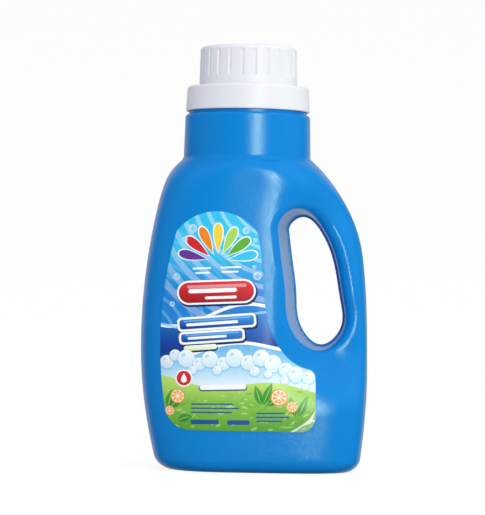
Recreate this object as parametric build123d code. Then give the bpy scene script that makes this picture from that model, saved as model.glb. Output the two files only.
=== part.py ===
from build123d import *
import math
import os

# A 1.24 litre laundry detergent bottle: a blow moulded bottle with a grip through its right side,
# a pour spout insert pressed into its neck, a fluted measuring cap and a film label on the front.
# Millimetres. Z is up, X runs from the pouring side (-X) to the grip (+X), the front faces -Y, and
# the origin is the middle of the base.

# Bottle body
BODY_WIDTH = 125.0          # side to side, over the grip
BODY_DEPTH = 83.2           # front panel to back panel
SHOULDER_HEIGHT = 170.6     # base to the foot of the collar
WALL = 0.9
HEEL_RADIUS = 7.5
NECK_OFFSET = -5.7          # neck axis from the middle of the width
LEFT_BELLY = 70.7           # height where the pouring side is widest
LEFT_BOW_LOW = 245.0        # radius of that side below the belly
LEFT_BOW_HIGH = 335.0       # and above it
RIGHT_BELLY = 59.7
RIGHT_BOW = 410.0
PANEL_BELLY = 72.7
PANEL_BOW = 4000.0
LEFT_SQUARENESS = 3.0       # 2 is an ellipse, larger is boxier
RIGHT_SQUARENESS = 4.2

# Shoulder dome, turned about the neck axis
SHOULDER_RADIUS = 98.5
SHOULDER_PITCH = 41.6       # slope at the collar, degrees
SHOULDER_LEAN = 0.2         # steepest lean before the dome runs out into the sides
CREASE_SHARPNESS = 22.0     # how tightly the dome folds into the panels

# Grip and its hole
GRIP_DEPTH = 40.0           # front to back
GRIP_WIDTH = 14.8           # at the palm
GRIP_ROOT_WIDTH = 20.5      # near the top of the hole
HOLE_BOTTOM = 69.0
HOLE_TOP = 139.0
HOLE_LEFT_TOP = 17.2        # body side of the hole, at its upper corner
HOLE_LEFT_BOTTOM = 26.6     # and at its lower corner
HOLE_DRAFT = 9.5            # degrees, each way from the middle plane, on the body side
GRIP_DRAFT = 3.0            # and on the grip side
HOLE_ROLL = 5.0             # rounding where the hole meets the panels
PINCH_LAND = 1.4            # thickness of the pinched ring in the middle plane
PINCH_STEP = 0.8            # how far that ring stands into the hole
THIN_START = 6.0            # the body begins to thin towards the grip at this x
THIN_END = 46.0
THIN_FADE_LOW = 36.0        # heights over which the thinning fades out below and above the hole
THIN_FADE_HIGH = 28.0

# Base
PUSH_UP = 3.0
FOOT_WIDTH = 5.0            # standing ring, past the heel
PUSH_UP_SLOPE = 5.0

# Collar and neck, about the neck axis
COLLAR_RADIUS = 34.5        # at its top
COLLAR_DRAFT = 0.6          # growth in radius down to its foot
COLLAR_HEIGHT = 24.3
COLLAR_EDGE = 1.9
COLLAR_FLARE = 0.7
NECK_STEP_RADIUS = 32.6
NECK_STEP_HEIGHT = 1.4
NECK_RADIUS = 31.0
NECK_HEIGHT = 12.2          # collar top to the rim
NECK_EDGE = 0.4
NECK_WALL = 1.5

# Pour spout insert
INSERT_FIT = 0.05           # radial room in the neck
INSERT_WALL = 1.4
INSERT_DEPTH = 22.0         # below the rim
INSERT_LIP = 1.5
TROUGH_THICKNESS = 1.3
TROUGH_TILT = 9.0           # degrees, falling towards the grip
DRAIN_RADIUS = 4.0
SPOUT_BASE_RADIUS = 15.0
SPOUT_TOP_RADIUS = 11.5
SPOUT_WALL = 1.2
SPOUT_RISE = 20.0           # rim to the spout's tip
SPOUT_CUT = 34.0            # degrees, the slant of its mouth
SPOUT_OFFSET = -4.0         # from the neck axis, towards the pouring side
SPOUT_SLOT = 9.0            # width of the drip slot down its back

# Measuring cap
CAP_SEAT = 0.1              # room over the insert's lip
CAP_GAP = 1.6               # collar top to the skirt's lower edge
SKIRT_RADIUS = 34.3
SKIRT_TAPER = 0.8
SKIRT_WALL = 1.2
SKIRT_EDGE = 1.6
SKIRT_LIP = 0.9
THREAD_RADIUS = 26.9        # outside of the cup's open end
CUP_LIP_RISE = 1.2          # from the skirt's lower edge up to the cup's rim
CUP_FOOT = 0.9
CUP_RADIUS = 27.1
CUP_TAPER = 0.45
CUP_WALL = 1.3
CUP_HEIGHT = 22.0           # above the skirt
CUP_EDGE = 2.5
CAP_CEILING = 1.5
FLUTE_COUNT = 24
FLUTE_WIDTH = 2.1
FLUTE_DEPTH = 0.6
FLUTE_FOOT = 6.0            # from the skirt's top to the flutes' full depth
FLUTE_HEAD = 3.3            # from there to the cap's top
FLUTE_TAIL = 3.0            # length of the cutter's pointed ends, which fade each flute out

# Front label
LABEL_FILM = 0.15
LABEL_GLUE = 0.2            # body to the back of the film
LABEL_BOTTOM = 22.9
LABEL_TOP = 140.4
LABEL_LEFT = -50.5
LABEL_RIGHT = 33.2
LABEL_HOLE_MARGIN = 18.0    # panel left bare round the hole
LABEL_CORNER_LEFT = 14.0
LABEL_CORNER_RIGHT = 8.0
LABEL_CORNER_TOP = 7.0
LABEL_CORNER_STEP = 5.0
LABEL_BOW = 5.0             # how far the left edge bows past its foot
LABEL_SHOULDER = 7.4        # and past its upper corner
LABEL_UNDER_HOLE = 13.4     # hole to the label's corner below it
LABEL_TURN_RISE = 5.0       # that corner up to the middle of the bend round the hole

# How finely the body is sampled
SECTION_POINTS = 36
SECTION_STEP = 6.0
HEEL_STEPS = 6
OUTLINE_POINTS = 40
STEP_GROWTH = 1.2
OVERCUT = 4.0               # how far a cutter runs past what it cuts
OVERLAP = 6.0               # how far two joined forms reach into each other

NECK_AXIS = Axis((NECK_OFFSET, 0, 0), (0, 0, 1))
COLLAR_TOP = SHOULDER_HEIGHT + COLLAR_HEIGHT
RIM = COLLAR_TOP + NECK_HEIGHT
NECK_BORE = NECK_RADIUS - NECK_WALL
SKIRT_TOP = RIM + INSERT_LIP + CAP_SEAT + CAP_CEILING
CAP_TOP = SKIRT_TOP + CUP_HEIGHT


def ease(share):
    """Smooth step from 0 to 1."""
    t = min(max(share, 0.0), 1.0)
    return t * t * (3 - 2 * t)


def side_reach(z, side):
    """Half width of the body at a height, from the middle of the width, without the shoulder."""
    half = BODY_WIDTH / 2
    if side < 0:
        rise = z - LEFT_BELLY
        bow = LEFT_BOW_HIGH if rise > 0 else LEFT_BOW_LOW
        return half - rise * rise / (2 * bow)
    rise = min(z - RIGHT_BELLY, 0.0)
    return half - rise * rise / (2 * RIGHT_BOW)


def panel_reach(z):
    """Half depth of the body at a height."""
    rise = z - PANEL_BELLY
    return BODY_DEPTH / 2 - rise * rise / (2 * PANEL_BOW)


def dome_radius(z, inset=0.0):
    """Radius of the shoulder dome about the neck axis: an arc that runs out into a steep cone."""
    pitch = math.radians(SHOULDER_PITCH)
    foot = COLLAR_RADIUS + COLLAR_DRAFT
    centre_r = foot - SHOULDER_RADIUS * math.sin(pitch)
    centre_z = SHOULDER_HEIGHT - SHOULDER_RADIUS * math.cos(pitch)
    arc = SHOULDER_RADIUS - inset
    lean = math.atan(SHOULDER_LEAN)
    cone_top = centre_z + arc * math.sin(lean)
    if z > cone_top:
        return centre_r + math.sqrt(arc * arc - (z - centre_z) ** 2)
    return centre_r + arc * math.cos(lean) + (cone_top - z) * SHOULDER_LEAN


def thinning(x, z):
    """Share of the full depth that is left at a point beside the hole."""
    across = ease((x - THIN_START) / (THIN_END - THIN_START))
    fade_in = ease((z - HOLE_BOTTOM + THIN_FADE_LOW) / THIN_FADE_LOW)
    fade_out = ease((HOLE_TOP + THIN_FADE_HIGH - z) / THIN_FADE_HIGH)
    return 1 - (1 - GRIP_DEPTH / BODY_DEPTH) * across * fade_in * fade_out


def body_point(angle, z, inset, tuck):
    """One point of the body's section: a squared ellipse about the neck axis, folded into the dome."""
    c, s = math.cos(angle), math.sin(angle)
    side = 1 if c >= 0 else -1
    square = RIGHT_SQUARENESS if side > 0 else LEFT_SQUARENESS
    a = side_reach(z, side) - side * NECK_OFFSET - inset - tuck
    b = panel_reach(z) - inset - tuck
    x = a * side * abs(c) ** (2 / square)
    y = b * math.copysign(abs(s) ** (2 / square), s)
    tube = math.hypot(x, y)
    dome = dome_radius(z, inset)
    fold = (1 + (tube / dome) ** CREASE_SHARPNESS) ** (-1 / CREASE_SHARPNESS)
    x = NECK_OFFSET + x * fold
    y *= fold * thinning(x, z)
    return Vector(x, y, z)


def body_section(z, inset, tuck=0.0):
    """Closed wire round the body at a height: a front and a back half, as the two mould halves make."""
    halves = []
    for start, forward in ((math.pi, -1), (2 * math.pi, 1)):
        angles = [start + math.pi * i / SECTION_POINTS for i in range(SECTION_POINTS + 1)]
        points = [body_point(angle, z, inset, tuck) for angle in angles]
        across = Vector(0, forward, 0)
        halves.append(Edge.make_spline(points, tangents=[across, across * -1]))
    return Wire(halves)


def graded(low, high, first, last):
    """Heights from low to high, both ends in, whose steps grow gently from first to last."""
    steps = [first]
    while sum(steps) < high - low:
        steps.append(min(last, steps[-1] * STEP_GROWTH))
    scale = (high - low) / sum(steps)
    return [low] + [low + scale * sum(steps[:i + 1]) for i in range(len(steps))]


def body_form(inset):
    """The body without its hole: heel, sides and shoulder in one loft."""
    radius = HEEL_RADIUS - inset
    wires = []
    for i in range(HEEL_STEPS):
        turn = math.pi / 2 * i / HEEL_STEPS
        rise = radius * (1 - math.cos(turn))
        wires.append(body_section(inset + rise, inset, radius * (1 - math.sin(turn))))
    top = SHOULDER_HEIGHT + COLLAR_FLARE - inset
    first_step = HEEL_RADIUS * math.pi / 2 / HEEL_STEPS
    for z in graded(HEEL_RADIUS, top, first_step, SECTION_STEP):
        wires.append(body_section(z, inset))
    return Solid.make_loft(wires)


def grip_side(share):
    """Grip side of the hole at a share of its height: the silhouette less the grip's width."""
    z = HOLE_BOTTOM + share * (HOLE_TOP - HOLE_BOTTOM)
    silhouette = min(side_reach(z, 1), NECK_OFFSET + dome_radius(z))
    width = GRIP_WIDTH + (GRIP_ROOT_WIDTH - GRIP_WIDTH) * ease((share - 0.2) / 0.8)
    return Vector(silhouette - width, 0, z)


def body_side(share):
    """Body side of the hole at a share of its height: a straight slant."""
    x = HOLE_LEFT_BOTTOM + share * (HOLE_LEFT_TOP - HOLE_LEFT_BOTTOM)
    return Vector(x, 0, HOLE_BOTTOM + share * (HOLE_TOP - HOLE_BOTTOM))


def hole_outline(grow=0.0, lean=0.0):
    """Points round the hole in the middle plane, moved outward, and further on the body side by a lean."""
    top = (body_side(1) + grip_side(1)) * 0.5
    bottom = (body_side(0) + grip_side(0)) * 0.5
    points = [body_side(share) for share in (0.89, 0.65, 0.4, 0.16)]
    points += [bottom]
    points += [grip_side(share) for share in (0.14, 0.35, 0.6, 0.87)]
    points += [top]
    ring = Edge.make_spline(points, periodic=True)
    moved = []
    for i in range(OUTLINE_POINTS):
        place = ring.position_at(i / OUTLINE_POINTS)
        along = ring.tangent_at(i / OUTLINE_POINTS)
        outward = Vector(along.Z, 0, -along.X)
        moved.append(place + outward * (grow + lean * (1 - outward.X) / 2))
    return moved


def hole_wire(y, grow, lean=0.0):
    """The hole's outline at a depth."""
    return Wire([Edge.make_spline([Vector(p.X, y, p.Z) for p in hole_outline(grow, lean)], periodic=True)])


def cut_hole(form, inset):
    """Cut the drafted grip hole through a body form and roll its outer edges."""
    reach = BODY_DEPTH / 2 + OVERCUT
    growth = math.tan(math.radians(GRIP_DRAFT)) * reach
    lean = math.tan(math.radians(HOLE_DRAFT)) * reach - growth
    waist = PINCH_STEP + inset
    for side in (-1, 1):
        mouth = hole_wire(side * reach, waist + growth, lean)
        form -= Solid.make_loft([hole_wire(0, waist), mouth], ruled=True)
    tall = HOLE_TOP - HOLE_BOTTOM
    rims = []
    for edge in form.edges():
        box = edge.bounding_box()
        if abs(edge.center().Y) > GRIP_DEPTH / 5 and box.size.Z > tall and box.size.X < BODY_WIDTH / 2:
            rims.append(edge)
    return fillet(rims, HOLE_ROLL - inset)


def pinch_ring():
    """The thin ring in the middle plane, where the mould pinched the two halves shut."""
    half = PINCH_LAND / 2
    plug = Solid.make_loft([hole_wire(-half, PINCH_STEP + WALL / 2), hole_wire(half, PINCH_STEP + WALL / 2)])
    return plug - Solid.make_loft([hole_wire(-half, 0), hole_wire(half, 0)])


def push_up(grow):
    """The recess under the base, or with a growth the bump that it makes inside."""
    tuck = HEEL_RADIUS + FOOT_WIDTH - grow
    low = body_section(0, 0, tuck).moved(Location((0, 0, -OVERCUT)))
    high = body_section(PUSH_UP + grow, 0, tuck + PUSH_UP_SLOPE)
    return Solid.make_loft([low, high], ruled=True)


def turned(points):
    """Solid of revolution about the neck axis from (radius, height) points."""
    outline = Polyline([(NECK_OFFSET + r, 0, z) for r, z in points], close=True)
    return revolve(make_face(outline), NECK_AXIS)


def rounded_ends(form, radii):
    """Round the circular edges of a turned form, each picked by its radius and height."""
    for r, z, size in radii:
        picked = [
            e for e in form.edges().filter_by(GeomType.CIRCLE)
            if abs(e.radius - r) < 0.02 and abs(e.arc_center.Z - z) < 0.02
        ]
        form = fillet(picked, size)
    return form


def collar_form():
    """Collar and neck, solid, with a flared foot that meets the shoulder."""
    foot = COLLAR_RADIUS + COLLAR_DRAFT
    sink = SHOULDER_HEIGHT - OVERLAP
    flare = COLLAR_FLARE
    reach = 2 * flare
    fall = reach * (1 + math.tan(math.radians(SHOULDER_PITCH))) - flare
    form = turned([
        (0, sink), (foot, sink), (foot, SHOULDER_HEIGHT), (COLLAR_RADIUS, COLLAR_TOP),
        (NECK_STEP_RADIUS, COLLAR_TOP), (NECK_STEP_RADIUS, COLLAR_TOP + NECK_STEP_HEIGHT),
        (NECK_RADIUS, COLLAR_TOP + NECK_STEP_HEIGHT), (NECK_RADIUS, RIM), (0, RIM),
    ])
    form = rounded_ends(form, [(COLLAR_RADIUS, COLLAR_TOP, COLLAR_EDGE), (NECK_RADIUS, RIM, NECK_EDGE)])
    flared = turned([
        (foot - WALL, SHOULDER_HEIGHT - fall), (foot + reach, SHOULDER_HEIGHT - fall),
        (foot, SHOULDER_HEIGHT + flare), (foot - WALL, SHOULDER_HEIGHT + flare),
    ])
    return form + flared


def neck_hollow():
    """Room inside the collar and the neck's bore."""
    inner = COLLAR_RADIUS - WALL
    ceiling = COLLAR_TOP - WALL
    form = turned([
        (0, SHOULDER_HEIGHT - OVERLAP), (inner, SHOULDER_HEIGHT - OVERLAP), (inner, ceiling),
        (NECK_BORE, ceiling), (NECK_BORE, RIM), (0, RIM),
    ])
    return rounded_ends(form, [(inner, ceiling, COLLAR_EDGE - WALL)])


def stitched(outer, inner):
    """Solid between two skins that both end in a round rim on the same level."""
    outer_top = outer.faces().sort_by(Axis.Z)[-1]
    inner_top = inner.faces().sort_by(Axis.Z)[-1]
    faces = [f for f in outer.faces() if not f.is_same(outer_top)]
    faces += [f for f in inner.faces() if not f.is_same(inner_top)]
    faces.append(Face(outer_top.outer_wire(), [inner_top.outer_wire()]))
    return Solid(Shell(faces))


def bottle():
    """The blow moulded bottle: outer skin and the even walled hollow inside it."""
    outer = cut_hole(body_form(0), 0) + pinch_ring() + collar_form() - push_up(0)
    inner = cut_hole(body_form(WALL), WALL) - push_up(WALL) + neck_hollow()
    return stitched(outer, inner)


def spout_insert():
    """Insert: lipped ring, sloping trough with a drain, and a slant cut spout slotted down its back."""
    outer = NECK_BORE - INSERT_FIT
    inner = outer - INSERT_WALL
    foot = RIM - INSERT_DEPTH
    ring = turned([
        (inner, foot), (outer, foot), (outer, RIM), (NECK_RADIUS, RIM),
        (NECK_RADIUS, RIM + INSERT_LIP), (inner, RIM + INSERT_LIP),
    ])
    fall = math.radians(TROUGH_TILT)
    middle = foot + outer * math.tan(fall) + TROUGH_THICKNESS
    slope = Plane((NECK_OFFSET, 0, middle), x_dir=(math.cos(fall), 0, -math.sin(fall)),
                  z_dir=(math.sin(fall), 0, math.cos(fall)))
    wide = 4 * outer
    bore = Pos(NECK_OFFSET, 0, RIM) * Cylinder(inner + INSERT_WALL / 2, wide)
    trough = bore & (slope * Box(wide, wide, TROUGH_THICKNESS))
    under = slope * Pos(0, 0, -wide / 2 - TROUGH_THICKNESS / 2) * Box(wide, wide, wide)
    tip = RIM + SPOUT_RISE
    tall = tip - foot
    centre = Pos(NECK_OFFSET + SPOUT_OFFSET, 0, (tip + foot) / 2)
    spout = centre * Cone(SPOUT_BASE_RADIUS, SPOUT_TOP_RADIUS, tall) - under
    throat = centre * Cone(SPOUT_BASE_RADIUS - SPOUT_WALL, SPOUT_TOP_RADIUS - SPOUT_WALL, tall)
    cut = math.radians(SPOUT_CUT)
    mouth = Plane((NECK_OFFSET + SPOUT_OFFSET - SPOUT_TOP_RADIUS, 0, tip),
                  x_dir=(math.cos(cut), 0, -math.sin(cut)), z_dir=(math.sin(cut), 0, math.cos(cut)))
    above = mouth * Pos(0, 0, wide / 2) * Box(wide, wide, wide)
    slot_low = middle + TROUGH_THICKNESS / 2
    slot = Pos(NECK_OFFSET + SPOUT_OFFSET, 0, slot_low) * Box(
        wide, SPOUT_SLOT, wide, align=(Align.MIN, Align.CENTER, Align.MIN))
    drain_x = (SPOUT_OFFSET + SPOUT_BASE_RADIUS + inner) / 2
    drain = Pos(NECK_OFFSET + drain_x, 0, middle) * Cylinder(DRAIN_RADIUS, wide)
    return ring + (trough - drain) + (spout - above - slot) - throat


def flute():
    """Cutter for one groove in the cup's wall: a round bar, pointed at its ends, along the wall's taper."""
    radius = ((FLUTE_WIDTH / 2) ** 2 + FLUTE_DEPTH ** 2) / (2 * FLUTE_DEPTH)
    low = SKIRT_TOP + FLUTE_FOOT
    high = CAP_TOP - FLUTE_HEAD
    lean = math.atan(CUP_TAPER / CUP_HEIGHT)
    half = (high - low) / 2
    outline = Polyline([
        (0, 0, -half - FLUTE_TAIL), (radius, 0, -half), (radius, 0, half), (0, 0, half + FLUTE_TAIL),
    ], close=True)
    bar = revolve(make_face(outline), Axis.Z)
    middle = (low + high) / 2
    wall = CUP_RADIUS - CUP_TAPER * (middle - SKIRT_TOP) / CUP_HEIGHT
    return Pos(NECK_OFFSET + wall - FLUTE_DEPTH + radius, 0, middle) * Rot(0, -math.degrees(lean), 0) * bar


def measuring_cap():
    """Cap: a fluted cup whose open end reaches down inside a wide skirt."""
    skirt_low = COLLAR_TOP + CAP_GAP
    below = skirt_low - OVERCUT
    cup_top = CUP_RADIUS - CUP_TAPER
    form = turned([
        (0, skirt_low), (SKIRT_RADIUS, skirt_low), (SKIRT_RADIUS - SKIRT_TAPER, SKIRT_TOP),
        (CUP_RADIUS, SKIRT_TOP), (cup_top, CAP_TOP), (0, CAP_TOP),
    ])
    form = rounded_ends(form, [
        (SKIRT_RADIUS - SKIRT_TAPER, SKIRT_TOP, SKIRT_EDGE), (SKIRT_RADIUS, skirt_low, SKIRT_LIP),
        (CUP_RADIUS, SKIRT_TOP, CUP_FOOT), (cup_top, CAP_TOP, CUP_EDGE),
    ])
    ceiling = SKIRT_TOP - CAP_CEILING
    form -= turned([
        (THREAD_RADIUS, below), (SKIRT_RADIUS - SKIRT_WALL, below),
        (SKIRT_RADIUS - SKIRT_TAPER - SKIRT_WALL, ceiling), (THREAD_RADIUS, ceiling),
    ])
    form -= turned([
        (0, below), (SKIRT_RADIUS - SKIRT_WALL, below), (SKIRT_RADIUS - SKIRT_WALL, skirt_low),
        (THREAD_RADIUS, skirt_low + CUP_LIP_RISE), (0, skirt_low + CUP_LIP_RISE),
    ])
    cup = turned([
        (0, below), (THREAD_RADIUS - CUP_WALL, below), (THREAD_RADIUS - CUP_WALL, SKIRT_TOP),
        (cup_top - CUP_WALL, CAP_TOP - CUP_WALL), (0, CAP_TOP - CUP_WALL),
    ])
    form -= rounded_ends(cup, [(cup_top - CUP_WALL, CAP_TOP - CUP_WALL, CUP_EDGE - CUP_WALL)])
    groove = flute()
    for i in range(FLUTE_COUNT):
        form -= groove.rotate(NECK_AXIS, 360 / FLUTE_COUNT * (i + 0.5))
    return form


def label_outline():
    """Flat outline of the label, seen from the front: arched top, hollowed round the grip hole."""
    def beside(share):
        place = body_side(share)
        return Vector(place.X - LABEL_HOLE_MARGIN, 0, place.Z)

    foot_left = Vector(LABEL_LEFT + LABEL_BOW, 0, LABEL_BOTTOM)
    foot_right = Vector(LABEL_RIGHT, 0, LABEL_BOTTOM)
    step = Vector(LABEL_RIGHT, 0, HOLE_BOTTOM - LABEL_UNDER_HOLE)
    turn = Vector((LABEL_RIGHT + beside(0.2).X) / 2, 0, step.Z + LABEL_TURN_RISE)
    right_top = beside(0.86)
    left_top = Vector(LABEL_LEFT + LABEL_SHOULDER, 0, right_top.Z)
    apex = Vector((left_top.X + right_top.X) / 2, 0, LABEL_TOP)
    belly = Vector(LABEL_LEFT, 0, (LABEL_BOTTOM + LABEL_TOP) / 2)
    return make_face([
        Line(foot_left, foot_right), Line(foot_right, step),
        Spline(step, turn, beside(0.2), beside(0.5), right_top),
        ThreePointArc(right_top, apex, left_top), ThreePointArc(left_top, belly, foot_left),
    ]), [(foot_left, LABEL_CORNER_LEFT), (foot_right, LABEL_CORNER_RIGHT), (step, LABEL_CORNER_STEP),
         (right_top, LABEL_CORNER_TOP), (left_top, LABEL_CORNER_TOP)]


def label_skin(block, height):
    """The label's patch of the body's surface, moved out by a height."""
    patch = block & body_form(-height)
    return max(patch.faces().filter_by(GeomType.BSPLINE), key=lambda face: face.area)


def front_label():
    """The film on the front panel, bent to the panel's curve."""
    face, corners = label_outline()
    block = extrude(face, BODY_DEPTH, dir=(0, -1, 0))
    for place, radius in corners:
        upright = block.edges().filter_by(Axis.Y).sort_by_distance(place)[0]
        block = fillet(upright, radius)
    printed = label_skin(block, LABEL_GLUE + LABEL_FILM)
    glued = label_skin(block, LABEL_GLUE)
    rim = []
    for edge in printed.outer_wire().edges():
        partner = min(glued.outer_wire().edges(), key=lambda other: (other.center() - edge.center()).length)
        rim.append(Face.make_surface_from_curves(edge, partner))
    return Solid(Shell([printed, glued] + rim))


if __name__ == "__main__":
    os.makedirs("parts", exist_ok=True)
    export_step(bottle(), "parts/bottle.step")
    export_step(spout_insert(), "parts/pour_spout_insert.step")
    export_step(measuring_cap(), "parts/measuring_cap.step")
    export_step(front_label(), "parts/front_label.step")
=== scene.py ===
import math
import random

import bpy
from mathutils import Matrix, Vector
from mathutils.bvhtree import BVHTree
from mathutils.geometry import delaunay_2d_cdt


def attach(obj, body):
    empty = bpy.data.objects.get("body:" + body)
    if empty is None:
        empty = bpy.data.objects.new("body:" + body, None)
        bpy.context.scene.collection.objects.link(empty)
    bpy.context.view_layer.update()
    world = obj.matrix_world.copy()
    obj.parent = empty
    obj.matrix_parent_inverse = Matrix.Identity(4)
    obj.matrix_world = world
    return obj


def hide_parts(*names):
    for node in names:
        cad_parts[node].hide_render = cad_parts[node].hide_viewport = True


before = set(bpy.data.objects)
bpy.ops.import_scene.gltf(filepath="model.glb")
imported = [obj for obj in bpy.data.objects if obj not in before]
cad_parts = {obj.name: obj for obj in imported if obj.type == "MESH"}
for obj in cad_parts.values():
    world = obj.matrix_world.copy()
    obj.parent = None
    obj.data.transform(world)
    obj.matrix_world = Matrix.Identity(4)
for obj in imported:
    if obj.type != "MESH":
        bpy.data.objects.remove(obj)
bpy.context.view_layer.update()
SCENE = bpy.context.scene
MM = 0.001

# Places on the bottle, in millimetres
NECK_X = -5.7                        # axis of the neck and the cap
SMOOTH_CENTRE = (33.0, 0.0, 104.0)   # of the patch round the grip hole that has hardly any grain
SMOOTH_REACH = (24.0, 1000.0, 45.0)  # half its width, right through the bottle, half its height
SMOOTH_TURN = 9.0                    # degrees about Y: its top leans to +X
SMOOTH_EDGE = (0.9, 1.06)            # shares of its reach between which the grain comes in
SMOOTH_GRAIN = 0.12                  # share of the grain that is left inside
GRAIN_SCALE = 1800.0                 # cells in a metre
GRAIN_HEIGHT = 0.0001                # metres

# Label film, in millimetres
FILM = 0.15                          # thickness
PRINT_RISE = -2.3                    # from a height in the print to the height on the bottle
EDGE_STEP = 1.5                      # longest edge of an outline in the print
GRID_CORNER = (-50.4, 25.3)          # lower left point of the grid that lets the film bend
GRID_STEP = 2.0
GRID_COLUMNS = 43
GRID_ROWS = 60
CREASE_START = (33.1, 36.6)          # the crease across the lower right corner
CREASE_END = (17.3, 24.0)
RIDGE_HEIGHT = 0.22
RIDGE_WIDTH = 0.8
CURL = 0.1                           # how far the corner stands off 1 mm beyond the crease
CURL_GROWTH = 1.15

# Camera, in millimetres where nothing else is said
FRAME_HEIGHT = 515                   # pixels
FOCAL_LENGTH = 2351                  # pixels
SENSOR_HEIGHT = 36.0
CAMERA_PLACE = (-7.3, -1300, 105.7)
CAMERA_TARGET = (-7.3, 0, 116.2)
CAMERA_ROLL = 1.0                    # degrees

LAMP_TARGET = (0, 0, 0.12)           # metres


# Colours and node helpers

def rgb(hex_code):
    """Linear colour from an sRGB hex code."""
    parts = [int(hex_code[i:i + 2], 16) / 255 for i in (0, 2, 4)]
    return tuple(p / 12.92 if p <= 0.04045 else ((p + 0.055) / 1.055) ** 2.4 for p in parts) + (1.0,)


def mix(a, b, t):
    """Blend of two colours."""
    t = min(max(t, 0.0), 1.0)
    return tuple(p + (q - p) * t for p, q in zip(a, b))


def new_material(name):
    """A node material, its tree and its Principled shader."""
    material = bpy.data.materials.new(name)
    material.use_nodes = True
    tree = material.node_tree
    return material, tree, tree.nodes["Principled BSDF"]


def noise(tree, source, scale, detail):
    """Noise value over a vector."""
    node = tree.nodes.new("ShaderNodeTexNoise")
    node.inputs["Scale"].default_value = scale
    node.inputs["Detail"].default_value = detail
    tree.links.new(source, node.inputs["Vector"])
    return node.outputs["Fac"]


def times(tree, value, factor):
    """Product of a socket with a socket or a number."""
    node = tree.nodes.new("ShaderNodeMath")
    node.operation = "MULTIPLY"
    tree.links.new(value, node.inputs[0])
    if isinstance(factor, float):
        node.inputs[1].default_value = factor
    else:
        tree.links.new(factor, node.inputs[1])
    return node.outputs[0]


def fade(tree, value, low, high, start=0.0, end=1.0):
    """Smooth step from start to end as a value goes from low to high."""
    node = tree.nodes.new("ShaderNodeMapRange")
    node.interpolation_type = "SMOOTHSTEP"
    tree.links.new(value, node.inputs["Value"])
    for name, number in (("From Min", low), ("From Max", high), ("To Min", start), ("To Max", end)):
        node.inputs[name].default_value = number
    return node.outputs["Result"]


def bump(tree, shader, height, distance, strength):
    """Bump of a height socket, in metres per unit of height, with its strength from a socket."""
    node = tree.nodes.new("ShaderNodeBump")
    node.inputs["Distance"].default_value = distance
    tree.links.new(strength, node.inputs["Strength"])
    tree.links.new(height, node.inputs["Height"])
    tree.links.new(node.outputs["Normal"], shader.inputs["Normal"])


# Plastics

def bottle_plastic():
    """Blue polyethylene: satin gloss, and the mould's fine grain except round the grip hole."""
    material, tree, shader = new_material("bottle_plastic")
    shader.inputs["Base Color"].default_value = rgb("0085d6")
    shader.inputs["Roughness"].default_value = 0.21
    shader.inputs["IOR"].default_value = 1.54
    shader.inputs["Specular IOR Level"].default_value = 0.75
    shader.inputs["Specular Tint"].default_value = (0.7, 1.0, 0.65, 1)
    place = tree.nodes.new("ShaderNodeTexCoord").outputs["Object"]
    smooth = tree.nodes.new("ShaderNodeMapping")
    smooth.vector_type = "TEXTURE"
    smooth.inputs["Location"].default_value = Vector(SMOOTH_CENTRE) * MM
    smooth.inputs["Rotation"].default_value = (0, math.radians(SMOOTH_TURN), 0)
    smooth.inputs["Scale"].default_value = Vector(SMOOTH_REACH) * MM
    tree.links.new(place, smooth.inputs["Vector"])
    reach = tree.nodes.new("ShaderNodeVectorMath")
    reach.operation = "LENGTH"
    tree.links.new(smooth.outputs["Vector"], reach.inputs[0])
    strength = fade(tree, reach.outputs["Value"], *SMOOTH_EDGE, start=SMOOTH_GRAIN)
    grain = noise(tree, place, scale=GRAIN_SCALE, detail=1.0)
    bump(tree, shader, grain, GRAIN_HEIGHT, strength)
    return material


def smooth_plastic(name, colour, roughness):
    """Moulded plastic of one even colour and gloss."""
    material, _, shader = new_material(name)
    shader.inputs["Base Color"].default_value = colour
    shader.inputs["Roughness"].default_value = roughness
    return material


def label_film():
    """Printed film: its colours are on the mesh."""
    material, tree, shader = new_material("label_film")
    paint = tree.nodes.new("ShaderNodeVertexColor")
    paint.layer_name = "print"
    tree.links.new(paint.outputs["Color"], shader.inputs["Base Color"])
    shader.inputs["Roughness"].default_value = 0.3
    return material


# Colours of the print

CYAN = rgb("2fc6f0")
SKY = rgb("8fd3f3")
PALE = rgb("e3f4fb")
WHITE = rgb("fbfdfd")
MID_BLUE = rgb("1b86d8")
BRIGHT_BLUE = rgb("2c8fe6")
DEEP_BLUE = rgb("0d3f9c")
NAVY = rgb("0a2766")
RED = rgb("d8262c")
BRIGHT_RED = rgb("e53238")
DARK_RED = rgb("a8161e")
ORANGE = rgb("f28a1d")
PULP = rgb("f9a63a")
PITH = rgb("fff3d6")
YELLOW = rgb("f7d43a")
GREEN = rgb("5fb233")
LIME = rgb("a9d95a")
PALE_LIME = rgb("d9f0a4")
LEAF = rgb("2f8f35")
BRIGHT_LEAF = rgb("55ad3c")
FAR_HILL = (rgb("bfe36e"), rgb("6fbb3a"))
NEAR_HILL = (rgb("93cf4a"), rgb("58a536"))
GRASS = (rgb("d6ee8a"), rgb("8cc63f"), rgb("4f9d33"), rgb("f2f6c4"))
PURPLE = rgb("6a3a98")
FOAM_EDGE = rgb("5fb6e6")
FOAM_SHADE = rgb("cdeaf8")
FOAM_GLINT = rgb("9ad6f2")
# Worn pale print with a painted highlight along the label's crease, and the painted shade of its fold
RUBBED_AND_HIGHLIGHT = rgb("fdf6ea")
FOLD_SHADE = rgb("4e8f33")

GROUND = ((25, LIME), (50, PALE), (62, SKY), (82, MID_BLUE), (100, MID_BLUE), (122, CYAN), (143, CYAN))


# Outlines of the print, as points (x, z) in millimetres

def turned(points, centre, degrees):
    """Points turned about the origin and moved to a centre."""
    c, s = math.cos(math.radians(degrees)), math.sin(math.radians(degrees))
    return [(centre[0] + x * c - z * s, centre[1] + x * s + z * c) for x, z in points]


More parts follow.
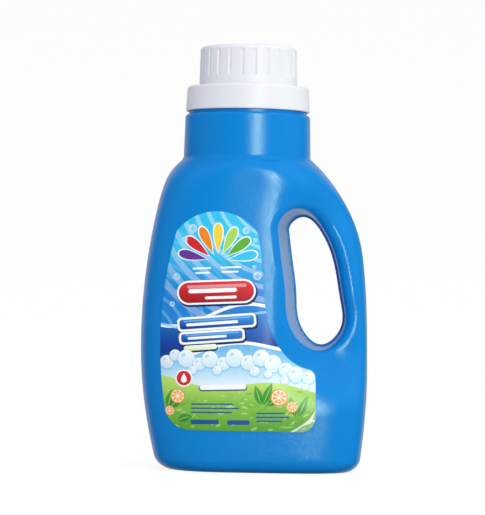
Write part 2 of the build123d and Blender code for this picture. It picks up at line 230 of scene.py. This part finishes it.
def oval(centre, rx, rz, degrees=0.0, count=36):
    """Ellipse of so many points."""
    angles = [2 * math.pi * i / count for i in range(count)]
    return turned([(rx * math.cos(a), rz * math.sin(a)) for a in angles], centre, degrees)


def disc(centre, radius):
    """Full circle."""
    return oval(centre, radius, radius)


def bar(centre, width, height, radius, degrees=0.0):
    """Rounded bar."""
    steps = 6
    radius = min(radius, width / 2, height / 2)
    points = []
    for k, (sx, sz) in enumerate(((1, 1), (-1, 1), (-1, -1), (1, -1))):
        for i in range(steps + 1):
            a = math.pi / 2 * (k + i / steps)
            points.append((sx * (width / 2 - radius) + radius * math.cos(a),
                           sz * (height / 2 - radius) + radius * math.sin(a)))
    return turned(points, centre, degrees)


def leaf(centre, length, width, degrees):
    """Pointed leaf from its stalk end."""
    steps = 12
    side = [(length * i / steps, width / 2 * math.sin(math.pi * (i / steps) ** 0.85))
            for i in range(steps + 1)]
    return turned(side + [(x, -z) for x, z in reversed(side[1:-1])], centre, degrees)


def drop(centre, length, width, degrees):
    """Water drop, its point towards the angle."""
    count = 30
    points = []
    for i in range(count):
        a = 2 * math.pi * i / count
        points.append((length / 2 * math.cos(a), width / 2 * math.sin(a) * math.sin(a / 2) ** 1.4))
    return turned(points, centre, degrees)


def band(low, high, left=-56.0, right=40.0):
    """Area between two curves of x."""
    count = int((right - left) / EDGE_STEP)
    xs = [left + (right - left) * i / count for i in range(count + 1)]
    return [(x, low(x)) for x in xs] + [(x, high(x)) for x in reversed(xs)]


def wave(level, height, length, shift, slope):
    """Sine curve of x on a slope."""
    return lambda x: level + slope * x + height * math.sin(2 * math.pi * (x - shift) / length)


def arc_band(centre, inner, outer, start, end):
    """Part of a ring between two angles in degrees."""
    steps = 40
    angles = [math.radians(start + (end - start) * i / steps) for i in range(steps + 1)]
    return ([(centre[0] + outer * math.cos(a), centre[1] + outer * math.sin(a)) for a in angles]
            + [(centre[0] + inner * math.cos(a), centre[1] + inner * math.sin(a)) for a in reversed(angles)])


# Paints: colour and cover at a point

def flat(colour, alpha=1.0):
    """The same colour all over."""
    return lambda x, z: (colour, alpha)


def down(top, bottom, high, low):
    """Colour that runs from top to bottom between two heights."""
    return lambda x, z: (mix(bottom, top, (z - low) / (high - low)), 1.0)


def ground(x, z):
    """The colour under all shapes."""
    for (z0, c0), (z1, c1) in zip(GROUND, GROUND[1:]):
        if z <= z1:
            return mix(c0, c1, (z - z0) / (z1 - z0))
    return GROUND[-1][1]


# Motifs of the print: each adds its outlines and paints on top of those before it

def rays(shapes):
    """Curved rays that cross over the upper part."""
    for i in range(11):
        inner = 16 + 6.5 * i
        outline = arc_band((14, 158), inner, inner + 1.0 + 0.28 * i, 180, 275)
        shapes.append((outline, flat(WHITE, 0.34 - 0.015 * i)))
    for i in range(9):
        inner = 12 + 6.0 * i
        shapes.append((arc_band((-62, 74), inner, inner + 1.6, -20, 78), flat(SKY, 0.4 - 0.03 * i)))


def fan(shapes):
    """Seven petals, over the same petals in white and a little larger."""
    centre = (-20.5, 116.0)
    petals = (PURPLE, RED, ORANGE, YELLOW, LIME, GREEN, CYAN)
    for grow, paints in ((1.5, [WHITE] * len(petals)), (0.0, petals)):
        for i, colour in enumerate(paints):
            degrees = 168 - 26 * i
            way = (math.cos(math.radians(degrees)), math.sin(math.radians(degrees)))
            middle = (centre[0] + 13.6 * way[0], centre[1] + 12.2 * way[1])
            shapes.append((drop(middle, 15.6 + grow, 6.8 + grow, degrees + 180), flat(colour)))


def sea(shapes):
    """Blue wave with white edges and a ripple."""
    swell = wave(70.5, 3.6, 78, -30, 0.08)
    crest = wave(88.5, 4.4, 72, -24, 0.10)
    ripple = wave(85.5, 3.4, 66, -12, 0.10)
    shapes.append((band(lambda x: swell(x) - 1.8, lambda x: crest(x) + 1.8), flat(WHITE)))
    shapes.append((band(swell, crest), down(MID_BLUE, DEEP_BLUE, 92, 70)))
    shapes.append((band(lambda x: ripple(x) - 1.0, lambda x: ripple(x) + 0.3), flat(SKY, 0.8)))


def blue_plaques(shapes):
    """Two blue bars with a white rim, a shadow, a gloss and a white line each, and a pale bar below."""
    for x, z, width, height in ((-20.5, 83.2, 40, 5.2), (-23, 75.6, 33, 4.4)):
        shapes.append((bar((x + 0.4, z - 0.7), width + 3.4, height + 3.4, 2.6, 5), flat(NAVY)))
        shapes.append((bar((x, z), width + 2.4, height + 2.4, 2.2, 5), flat(WHITE)))
        shapes.append((bar((x, z), width, height, 1.4, 5), down(BRIGHT_BLUE, DEEP_BLUE, z + 3, z - 3)))
        shapes.append((bar((x, z + 0.32 * height), width - 4, 0.9, 0.4, 5), flat(SKY, 0.5)))
        shapes.append((bar((x - 2.5, z - 0.1 * height), width - 12, 0.3 * height, 0.8, 5), flat(WHITE)))
    shapes.append((bar((-29, 69.1), 18.8, 3.8, 1.9, 5), flat(NAVY)))
    shapes.append((bar((-29, 69.6), 18, 2.8, 1.4, 5), down(WHITE, PALE_LIME, 71, 68)))


def red_plaque(shapes):
    """Red rounded bar with a white rim, a shadow, a gloss and two white lines."""
    x, z = -21.0, 99.5
    shapes.append((bar((x + 0.5, z - 0.7), 43.4, 13.8, 6.9, 3), flat(NAVY)))
    shapes.append((bar((x, z), 42.4, 13.0, 6.5, 3), flat(WHITE)))
    shapes.append((bar((x, z), 40.4, 11.0, 5.5, 3), down(BRIGHT_RED, DARK_RED, 105, 94)))
    shapes.append((bar((x + 0.2, z + 3.1), 32, 1.8, 0.9, 3), flat(WHITE, 0.28)))
    shapes.append((bar((x - 2.0, z + 0.7), 26, 2.2, 1.1, 3), flat(WHITE)))
    shapes.append((bar((x + 2.5, z - 2.9), 17, 1.5, 0.7, 3), flat(WHITE, 0.95)))


def short_lines(shapes):
    """Four thin white lines between the fan and the red plaque."""
    for x, z, width in ((-29, 112.0, 10), (-13.5, 112.8, 11), (-28.5, 109.6, 8), (-13.8, 110.4, 9)):
        shapes.append((bar((x, z), width, 1.0, 0.5, 3), flat(WHITE, 0.9)))


def bubble(shapes, centre, radius):
    """Soap bubble: a clear disc with a bright rim and two glints."""
    def glass(x, z):
        share = math.hypot(x - centre[0], z - centre[1]) / radius
        return WHITE, 0.12 + 0.6 * share ** 4
    shapes.append((disc(centre, radius), glass))
    shapes.append((disc(centre, radius * 0.86), flat(SKY, 0.35)))
    glint = (centre[0] - radius * 0.36, centre[1] + radius * 0.4)
    shapes.append((oval(glint, radius * 0.26, radius * 0.13, 42, 20), flat(WHITE, 0.95)))
    spark = (centre[0] + radius * 0.42, centre[1] - radius * 0.42)
    shapes.append((oval(spark, radius * 0.12, radius * 0.07, 45, 12), flat(WHITE, 0.7)))


def bubbles(shapes):
    """Bubbles round the fan and the plaques."""
    for x, z, radius in ((-5.6, 132.6, 1.9), (-34.2, 133.4, 2.3), (-0.6, 127.6, 1.2), (-38.4, 127.4, 1.5),
                         (0.8, 108.4, 2.2), (-0.8, 113.2, 1.1), (-42.4, 107.4, 1.8), (-44.6, 92.6, 1.4)):
        bubble(shapes, (x, z), radius)


def foam(shapes):
    """Band of white balls."""
    balls = ((-47, 61.5, 3.6), (-42.5, 65.2, 3.0), (-36.5, 63.6, 4.6), (-29.5, 60.8, 3.4), (-23.8, 63.4, 4.4),
             (-16.5, 61.2, 3.6), (-10.5, 64.4, 4.8), (-3.2, 62.0, 4.0), (3.6, 64.6, 4.4), (10.0, 61.6, 4.6),
             (17.0, 58.4, 3.8), (22.5, 55.8, 4.2), (29.4, 54.2, 3.4), (-33.0, 57.4, 2.2), (-19.8, 57.6, 2.4),
             (0.4, 57.4, 2.6), (7.4, 56.0, 2.0), (16.4, 52.8, 2.2), (27.6, 49.2, 1.8))
    for x, z, r in balls:
        shapes.append((disc((x, z - 0.4), r + 0.5), flat(FOAM_EDGE, 0.45)))
        shapes.append((disc((x, z), r), down(WHITE, FOAM_SHADE, z + r, z - r)))
        glint = (x - 0.35 * r, z + 0.38 * r)
        shapes.append((oval(glint, 0.28 * r, 0.16 * r, 40, 16), flat(FOAM_GLINT, 0.8)))


def hills(shapes):
    """A far and a near hill."""
    far = wave(49.5, 2.4, 64, -6, -0.05)
    near = wave(40, 2.2, 52, 12, 0.06)
    shapes.append((band(lambda x: 10.0, far), down(*FAR_HILL, 51, 38)))
    shapes.append((band(lambda x: 10.0, near), down(*NEAR_HILL, 43, 26)))


def grass(shapes):
    """Short strokes over the hills."""
    pick = random.Random(11)
    for _ in range(150):
        x, z = pick.uniform(-49, 33), pick.uniform(26, 47)
        size = pick.uniform(0.7, 1.9)
        colour = pick.choice(GRASS)
        shapes.append((oval((x, z), size, 0.3 * size, pick.uniform(-30, 80), 8), flat(colour, 0.42)))


def leaves(shapes):
    """Leaves beside the fruit, each with its midrib."""
    for x, z, length, tilt in ((4, 39.5, 11, 108), (5, 39.5, 13, 68), (7, 39.0, 11, 34),
                               (22.5, 33.5, 11, 106), (24, 33.5, 12, 66),
                               (-46, 37, 10, 78), (-45, 37, 9, 42), (-40.5, 30.5, 8, 18)):
        shapes.append((leaf((x, z), length, 4.2, tilt), down(BRIGHT_LEAF, LEAF, z + length, z)))
        shapes.append((leaf((x, z), length * 0.92, 0.5, tilt), flat(LIME, 0.9)))


def slice_of_fruit(shapes, centre, radius, tilt):
    """Round slice with eight segments."""
    segment = ((0.12, 0.0), (0.62, -0.3), (0.76, -0.24), (0.79, 0.0), (0.76, 0.24), (0.62, 0.3))
    shapes.append((disc(centre, radius), flat(ORANGE)))
    shapes.append((disc(centre, radius * 0.86), flat(PITH)))
    for i in range(8):
        a = math.radians(tilt + 45 * i)
        tips = [(centre[0] + radius * r * math.cos(a + k), centre[1] + radius * r * math.sin(a + k))
                for r, k in segment]
        shapes.append((tips, flat(PULP)))


def fruit(shapes):
    """Four slices beside the leaves."""
    for x, z, size, tilt in ((13.6, 43.6, 4.6, 10), (20.6, 38.6, 3.0, 30),
                             (-40.8, 43.4, 3.9, 0), (-45.0, 35.4, 2.6, 20)):
        slice_of_fruit(shapes, (x, z), size, tilt)


def badge(shapes):
    """Red disc with a white drop."""
    x, z = -37.6, 53.0
    shapes.append((disc((x, z), 4.6), flat(WHITE)))
    shapes.append((disc((x, z), 3.9), flat(RED)))
    shapes.append((drop((x, z + 0.2), 5.2, 4.4, 90), flat(WHITE)))


def low_lines(shapes):
    """White bar, thin lines in two blocks and two short bars over the hills."""
    shapes.append((bar((-16.5, 48.2), 26, 3.4, 1.7, 2), flat(NAVY, 0.85)))
    shapes.append((bar((-16.5, 48.6), 25, 2.6, 1.3, 2), flat(WHITE)))
    for x, z, width in ((-22, 39.4, 23), (-20.5, 37.2, 26), (-22.5, 35.0, 22),
                        (9.0, 35.0, 15), (10.2, 32.9, 18), (8.6, 30.8, 14)):
        shapes.append((bar((x, z), width, 0.9, 0.45, 1), flat(DEEP_BLUE, 0.85)))
    for x, width in ((-26.0, 15), (-8.0, 12)):
        shapes.append((bar((x, 29.8), width, 2.4, 0.7, 1), flat(DEEP_BLUE, 0.9)))


def crumple(shapes):
    """The lower right corner a little paler, worn print with a painted highlight along its crease, and a
    painted fold shade.
    """
    corner = [(33.6, 37.6), (35.5, 22), (15.5, 22), (20.0, 25.4), (25.3, 28.8), (29.6, 31.8)]
    ridge = [(33.1, 37.2), (31.9, 35.0), (30.9, 33.4), (29.4, 31.6), (27.4, 30.0), (25.2, 28.5),
             (22.6, 26.8), (19.8, 25.2), (16.9, 24.2)]
    widths = (0.3, 0.8, 1.5, 2.1, 1.0, 0.6, 0.9, 0.5, 0.3)
    rim = [(x + 0.6 * width, z - 0.8 * width) for (x, z), width in zip(ridge[::-1], widths[::-1])]
    spur = [(30.6, 32.0), (33.6, 31.9), (34.4, 31.0), (32.6, 30.9), (30.2, 30.6)]
    fold = [(28.6, 33.6), (26.0, 31.6), (23.6, 29.6), (26.4, 31.2)]
    # Painted: the corner a little paler, a highlight over worn print along the crease ridge and spur, and the
    # shade of a fold.
    shapes.append((corner, flat(PALE, 0.2)))
    shapes.append((ridge + rim, flat(RUBBED_AND_HIGHLIGHT, 0.82)))
    shapes.append((spur, flat(RUBBED_AND_HIGHLIGHT, 0.7)))
    shapes.append((fold, flat(FOLD_SHADE, 0.5)))


def print_shapes():
    """The print from the ground up, as outlines and paints."""
    shapes = []
    for motif in (rays, fan, sea, blue_plaques, red_plaque, short_lines, bubbles, foam, hills, grass,
                  leaves, fruit, badge, low_lines, crumple):
        motif(shapes)
    return shapes


# Label film

def left_handed(outline):
    """The outline with its inside on the left."""
    area = sum(a[0] * b[1] - b[0] * a[1] for a, b in zip(outline, outline[1:] + outline[:1]))
    return outline if area > 0 else outline[::-1]


def fine(outline):
    """The outline with its long edges divided, so that the film bends with the panel."""
    points = []
    for a, b in zip(outline, outline[1:] + outline[:1]):
        count = max(1, math.ceil(math.dist(a, b) / EDGE_STEP))
        points += [(a[0] + (b[0] - a[0]) * i / count, a[1] + (b[1] - a[1]) * i / count)
                   for i in range(count)]
    return points


def free_edges(faces):
    """The edges that only one face has, each in the direction in which that face runs along it."""
    uses = {}
    for ids in faces:
        for a, b in zip(ids, ids[1:] + ids[:1]):
            uses.setdefault(frozenset((a, b)), []).append((a, b))
    return [pairs[0] for pairs in uses.values() if len(pairs) == 1]


def front_skin(piece):
    """The printed side of the CAD label: its points, triangles, their corner normals and its outline."""
    least_front = -0.4
    mesh = piece.data
    normals = [Vector(n.vector) for n in mesh.corner_normals]
    points, triangles, corners, index = [], [], [], {}
    mesh.calc_loop_triangles()
    for triangle in mesh.loop_triangles:
        if triangle.normal.y > least_front:
            continue
        ids = []
        for v in triangle.vertices:
            key = tuple(round(c / MM, 3) for c in mesh.vertices[v].co)
            if key not in index:
                index[key] = len(points)
                points.append(mesh.vertices[v].co.copy())
            ids.append(index[key])
        triangles.append(ids)
        corners.append([normals[loop] for loop in triangle.loops])
    follow = dict(free_edges(triangles))
    loop = [next(iter(follow))]
    while follow[loop[-1]] != loop[0]:
        loop.append(follow[loop[-1]])
    return points, triangles, corners, [points[i] for i in loop]


def touch(tree, x, z):
    """Where a straight look from the front meets the skin, or meets it just inside its edge."""
    far_in_front, directions = -200, 8
    for reach in (0.0, 0.01, 0.05, 0.2, 0.6):
        for k in range(directions):
            turn = 2 * math.pi * k / directions
            start = Vector((x + reach * math.cos(turn), far_in_front, z + reach * math.sin(turn))) * MM
            place, _, hit, _ = tree.ray_cast(start, Vector((0, 1, 0)))
            if place:
                return place, hit
    raise ValueError("no skin at %.1f, %.1f" % (x, z))


def crease_lift(x, z):
    """How far the film stands off at the crease across its lower right corner, and beyond it."""
    (ax, az), (bx, bz) = CREASE_START, CREASE_END
    length = math.hypot(bx - ax, bz - az)
    beyond = ((bx - ax) * (z - az) - (bz - az) * (x - ax)) / length
    ridge = RIDGE_HEIGHT * math.exp(-(beyond / RIDGE_WIDTH) ** 2)
    return ridge + CURL * max(0.0, beyond) ** CURL_GROWTH


def cut_film(loop, shapes):
    """The flat film: its points, and its triangles with the numbers of the outlines that cover each."""
    edge = [(p.x / MM, p.z / MM - PRINT_RISE) for p in loop]
    points, faces = [], []
    for outline in [edge] + [fine(left_handed(outline)) for outline, _ in shapes]:
        faces.append(list(range(len(points), len(points) + len(outline))))
        points += [Vector(p) for p in outline]
    for i in range(GRID_COLUMNS):
        for k in range(GRID_ROWS):
            shift = GRID_STEP / 2 * (k % 2)
            points.append(Vector((GRID_CORNER[0] + GRID_STEP * i + shift, GRID_CORNER[1] + GRID_STEP * k)))
    triangles_inside, tolerance = 1, 1e-4
    spots, _, cells, _, _, owners = delaunay_2d_cdt(points, [], faces, triangles_inside, tolerance)
    return spots, [(list(cell), sorted(owner)) for cell, owner in zip(cells, owners) if 0 in owner]


def bend_film(spots, used, skin):
    """The film's front and back points, laid on the CAD label's printed side."""
    points, triangles, corners, _ = skin
    tree = BVHTree.FromPolygons(points, triangles)
    front, back = [], []
    for v in used:
        x, z = spots[v].x, spots[v].y + PRINT_RISE
        place, hit = touch(tree, x, z)
        a, b, c = (points[i] for i in triangles[hit])
        area = (b - a).cross(c - a).length
        shares = ((c - b).cross(place - b).length / area, (a - c).cross(place - c).length / area)
        na, nb, nc = corners[hit]
        smooth = (na * shares[0] + nb * shares[1] + nc * max(0.0, 1 - sum(shares))).normalized()
        lift = crease_lift(x, z - PRINT_RISE) * MM
        front.append(Vector((x * MM, place.y, z * MM)) + smooth * lift)
        back.append(front[-1] - smooth * FILM * MM)
    return front, back


def printed_colour(shapes, covers, x, z):
    """Colour of the ground with the shapes that cover it, from the lowest up."""
    colour = ground(x, z)
    for k in covers:
        over, alpha = shapes[k - 1][1](x, z)
        colour = mix(colour, over, alpha)
    return colour


def front_faces(spots, cells, order, front, shapes):
    """The film's front faces, all turned forward, and the colour of each of their corners."""
    inward = 0.02
    faces, colours = [], []
    for cell, covers in cells:
        middle = [sum(spots[v][k] for v in cell) / len(cell) for k in (0, 1)]
        a, b, c = (front[order[v]] for v in cell[:3])
        if (b - a).cross(c - a).y > 0:
            cell = cell[::-1]
        faces.append([order[v] for v in cell])
        for v in cell:
            x, z = (spots[v][k] * (1 - inward) + middle[k] * inward for k in (0, 1))
            colours.append(printed_colour(shapes, covers[1:], x, z))
    return faces, colours


def closed(faces, count):
    """Faces of a sheet of two layers: the front, the same faces turned on the back, and the rim between."""
    back = [[i + count for i in reversed(ids)] for ids in faces]
    rim = [[b, a, a + count, b + count] for a, b in free_edges(faces)]
    return faces + back + rim


def label():
    """The printed film: a fine sheet bent to the panel, coloured face by face from the outlines."""
    skin = front_skin(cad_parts["front_label"])
    shapes = print_shapes()
    spots, cells = cut_film(skin[3], shapes)
    used = sorted({v for cell, _ in cells for v in cell})
    order = {v: i for i, v in enumerate(used)}
    front, back = bend_film(spots, used, skin)
    faces, colours = front_faces(spots, cells, order, front, shapes)
    mesh = bpy.data.meshes.new("label_print")
    mesh.from_pydata(front + back, [], closed(faces, len(front)))
    paint = mesh.color_attributes.new("print", "FLOAT_COLOR", "CORNER")
    for i, item in enumerate(paint.data):
        item.color = colours[i] if i < len(colours) else WHITE
    mesh.materials.append(label_film())
    piece = bpy.data.objects.new("label_print", mesh)
    SCENE.collection.objects.link(piece)
    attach(piece, "bottle_body")
    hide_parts("front_label")


# Threads

def thread(name, radius, rise, low, pitch, turns, width, body, material):
    """Helical ridge on a wall about the neck axis: it stands out by rise, or in where rise is negative."""
    root_width, crest_width = 0.5, 0.18
    sunk, least_stand, run_out = 0.3, 0.02, 12
    steps = int(64 * turns)
    way = math.copysign(1, rise)
    root = radius - sunk * way
    vertices, faces = [], []
    for i in range(steps + 1):
        share = i / steps
        stand = rise * min(1.0, run_out * share, run_out * (1 - share)) + least_stand * way
        crest = radius + stand
        angle = 2 * math.pi * turns * share
        section = ((root, -root_width), (crest, -crest_width), (crest, crest_width), (root, root_width))
        for r, dz in section:
            z = low + pitch * turns * share + dz * width
            vertices.append((Vector((NECK_X + r * math.cos(angle), r * math.sin(angle), z)) * MM)[:])
    for i in range(steps):
        for k in range(4):
            a, b = 4 * i + k, 4 * i + (k + 1) % 4
            faces.append((a, a + 4, b + 4, b) if rise > 0 else (a, b, b + 4, a + 4))
    ends = [(0, 1, 2, 3), tuple(4 * steps + k for k in (3, 2, 1, 0))]
    faces += ends if rise > 0 else [end[::-1] for end in ends]
    mesh = bpy.data.meshes.new(name)
    mesh.from_pydata(vertices, [], faces)
    mesh.materials.append(material)
    piece = bpy.data.objects.new(name, mesh)
    SCENE.collection.objects.link(piece)
    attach(piece, body)


def dress(name, material):
    """Give a CAD node its material."""
    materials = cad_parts[name].data.materials
    materials.clear()
    materials.append(material)


# Stage, light and camera

def sweep_paper():
    """Pale matt paper that the camera sees nearly white."""
    material, tree, shader = new_material("sweep_paper")
    shader.inputs["Base Color"].default_value = (0.6, 0.6, 0.6, 1)
    shader.inputs["Roughness"].default_value = 0.9
    shader.inputs["Specular IOR Level"].default_value = 0.1
    glow = tree.nodes.new("ShaderNodeEmission")
    glow.inputs["Strength"].default_value = 1.1
    path = tree.nodes.new("ShaderNodeLightPath")
    blend = tree.nodes.new("ShaderNodeMixShader")
    tree.links.new(times(tree, path.outputs["Is Camera Ray"], 0.82), blend.inputs[0])
    tree.links.new(shader.outputs[0], blend.inputs[1])
    tree.links.new(glow.outputs[0], blend.inputs[2])
    tree.links.new(blend.outputs[0], tree.nodes["Material Output"].inputs["Surface"])
    return material


def stage():
    """A pale sweep: floor and backdrop in one, in metres."""
    front, back, top, half_width = -2.2, 1.6, 2.2, 3.0
    radius, steps = 0.6, 12
    profile = [(front, 0.0), (back - radius, 0.0)]
    for i in range(1, steps + 1):
        turn = math.pi / 2 * i / steps
        profile.append((back - radius + radius * math.sin(turn), radius - radius * math.cos(turn)))
    profile.append((back, top))
    vertices = [(x, y, z) for x in (-half_width, half_width) for y, z in profile]
    count = len(profile)
    faces = [(i, count + i, count + i + 1, i + 1) for i in range(count - 1)]
    mesh = bpy.data.meshes.new("sweep")
    mesh.from_pydata(vertices, [], faces)
    for polygon in mesh.polygons:
        polygon.use_smooth = True
    mesh.materials.append(sweep_paper())
    sweep = bpy.data.objects.new("sweep", mesh)
    SCENE.collection.objects.link(sweep)
    sweep.visible_glossy = False


def softbox(name, azimuth, elevation, distance, width, height, power):
    """An area lamp seen from the part at an azimuth to the right of the camera and an elevation."""
    a, e = math.radians(azimuth), math.radians(elevation)
    way = Vector((math.sin(a) * math.cos(e), -math.cos(a) * math.cos(e), math.sin(e)))
    data = bpy.data.lights.new(name, "AREA")
    data.shape = "RECTANGLE"
    data.size = width
    data.size_y = height
    data.energy = power
    lamp = bpy.data.objects.new(name, data)
    SCENE.collection.objects.link(lamp)
    lamp.location = Vector(LAMP_TARGET) + way * distance
    lamp.rotation_euler = (-way).to_track_quat("-Z", "Y").to_euler()


def white_light(tree):
    """White background light of strength 1."""
    light = tree.nodes.new("ShaderNodeBackground")
    light.inputs["Color"].default_value = (1, 1, 1, 1)
    light.inputs["Strength"].default_value = 1.0
    return light


def studio():
    """The world: dark in front and pale behind and above, bluer on the left, and white to the camera."""
    world = bpy.data.worlds.new("studio")
    SCENE.world = world
    world.use_nodes = True
    tree = world.node_tree
    way = tree.nodes.new("ShaderNodeTexCoord")
    split = tree.nodes.new("ShaderNodeSeparateXYZ")
    tree.links.new(way.outputs["Generated"], split.inputs[0])
    x, y, z = (split.outputs[name] for name in "XYZ")
    depth = fade(tree, y, -0.95, 0.1, start=0.31, end=1.2)
    side = fade(tree, x, -1.0, 1.0, start=0.88, end=1.22)
    above = fade(tree, z, 0.0, 1.0, start=0.9, end=1.38)
    tint = tree.nodes.new("ShaderNodeMix")
    tint.data_type = "RGBA"
    tint.inputs["A"].default_value = (0.88, 0.88, 1, 1)
    tint.inputs["B"].default_value = (0.96, 1, 0.97, 1)
    tree.links.new(fade(tree, x, -1.0, 1.0), tint.inputs["Factor"])
    fill = tree.nodes["Background"]
    tree.links.new(tint.outputs["Result"], fill.inputs["Color"])
    tree.links.new(times(tree, times(tree, depth, side), above), fill.inputs["Strength"])
    reflected = white_light(tree)
    tree.links.new(fade(tree, y, 0.6, 1.0, start=0.02, end=0.6), reflected.inputs["Strength"])
    path = tree.nodes.new("ShaderNodeLightPath")
    result = fill.outputs[0]
    for rays_seen, light in (("Is Glossy Ray", reflected), ("Is Camera Ray", white_light(tree))):
        blend = tree.nodes.new("ShaderNodeMixShader")
        tree.links.new(path.outputs[rays_seen], blend.inputs[0])
        tree.links.new(result, blend.inputs[1])
        tree.links.new(light.outputs[0], blend.inputs[2])
        result = blend.outputs[0]
    tree.links.new(result, tree.nodes["World Output"].inputs["Surface"])


def camera():
    """The photograph's view: from the front, looking very slightly up, with a slight roll."""
    place = Vector(CAMERA_PLACE) * MM
    data = bpy.data.cameras.new("camera")
    data.sensor_fit = "VERTICAL"
    data.sensor_height = SENSOR_HEIGHT
    data.lens = FOCAL_LENGTH / FRAME_HEIGHT * SENSOR_HEIGHT
    lens = bpy.data.objects.new("camera", data)
    SCENE.collection.objects.link(lens)
    turn = (Vector(CAMERA_TARGET) * MM - place).to_track_quat("-Z", "Y").to_matrix().to_4x4()
    roll = Matrix.Rotation(math.radians(CAMERA_ROLL), 4, "Z")
    lens.matrix_world = Matrix.Translation(place) @ turn @ roll
    SCENE.camera = lens


# The whole scene

insert = smooth_plastic("insert_plastic", rgb("0068bd"), 0.38)
cap = smooth_plastic("cap_plastic", rgb("e4e6ea"), 0.42)
dress("bottle", bottle_plastic())
dress("pour_spout_insert", insert)
dress("measuring_cap", cap)
thread("insert_thread", radius=28.05, rise=-0.5, low=198.6, pitch=4.0, turns=1.6, width=2.2,
       body="bottle_body", material=insert)
thread("cap_thread", radius=26.9, rise=0.5, low=200.2, pitch=4.0, turns=1.3, width=2.2,
       body="cap_body", material=cap)
label()
stage()
softbox("key", azimuth=17, elevation=18, distance=1.1, width=0.10, height=0.95, power=5.7)
studio()
camera()
SCENE.view_settings.view_transform = "Standard"
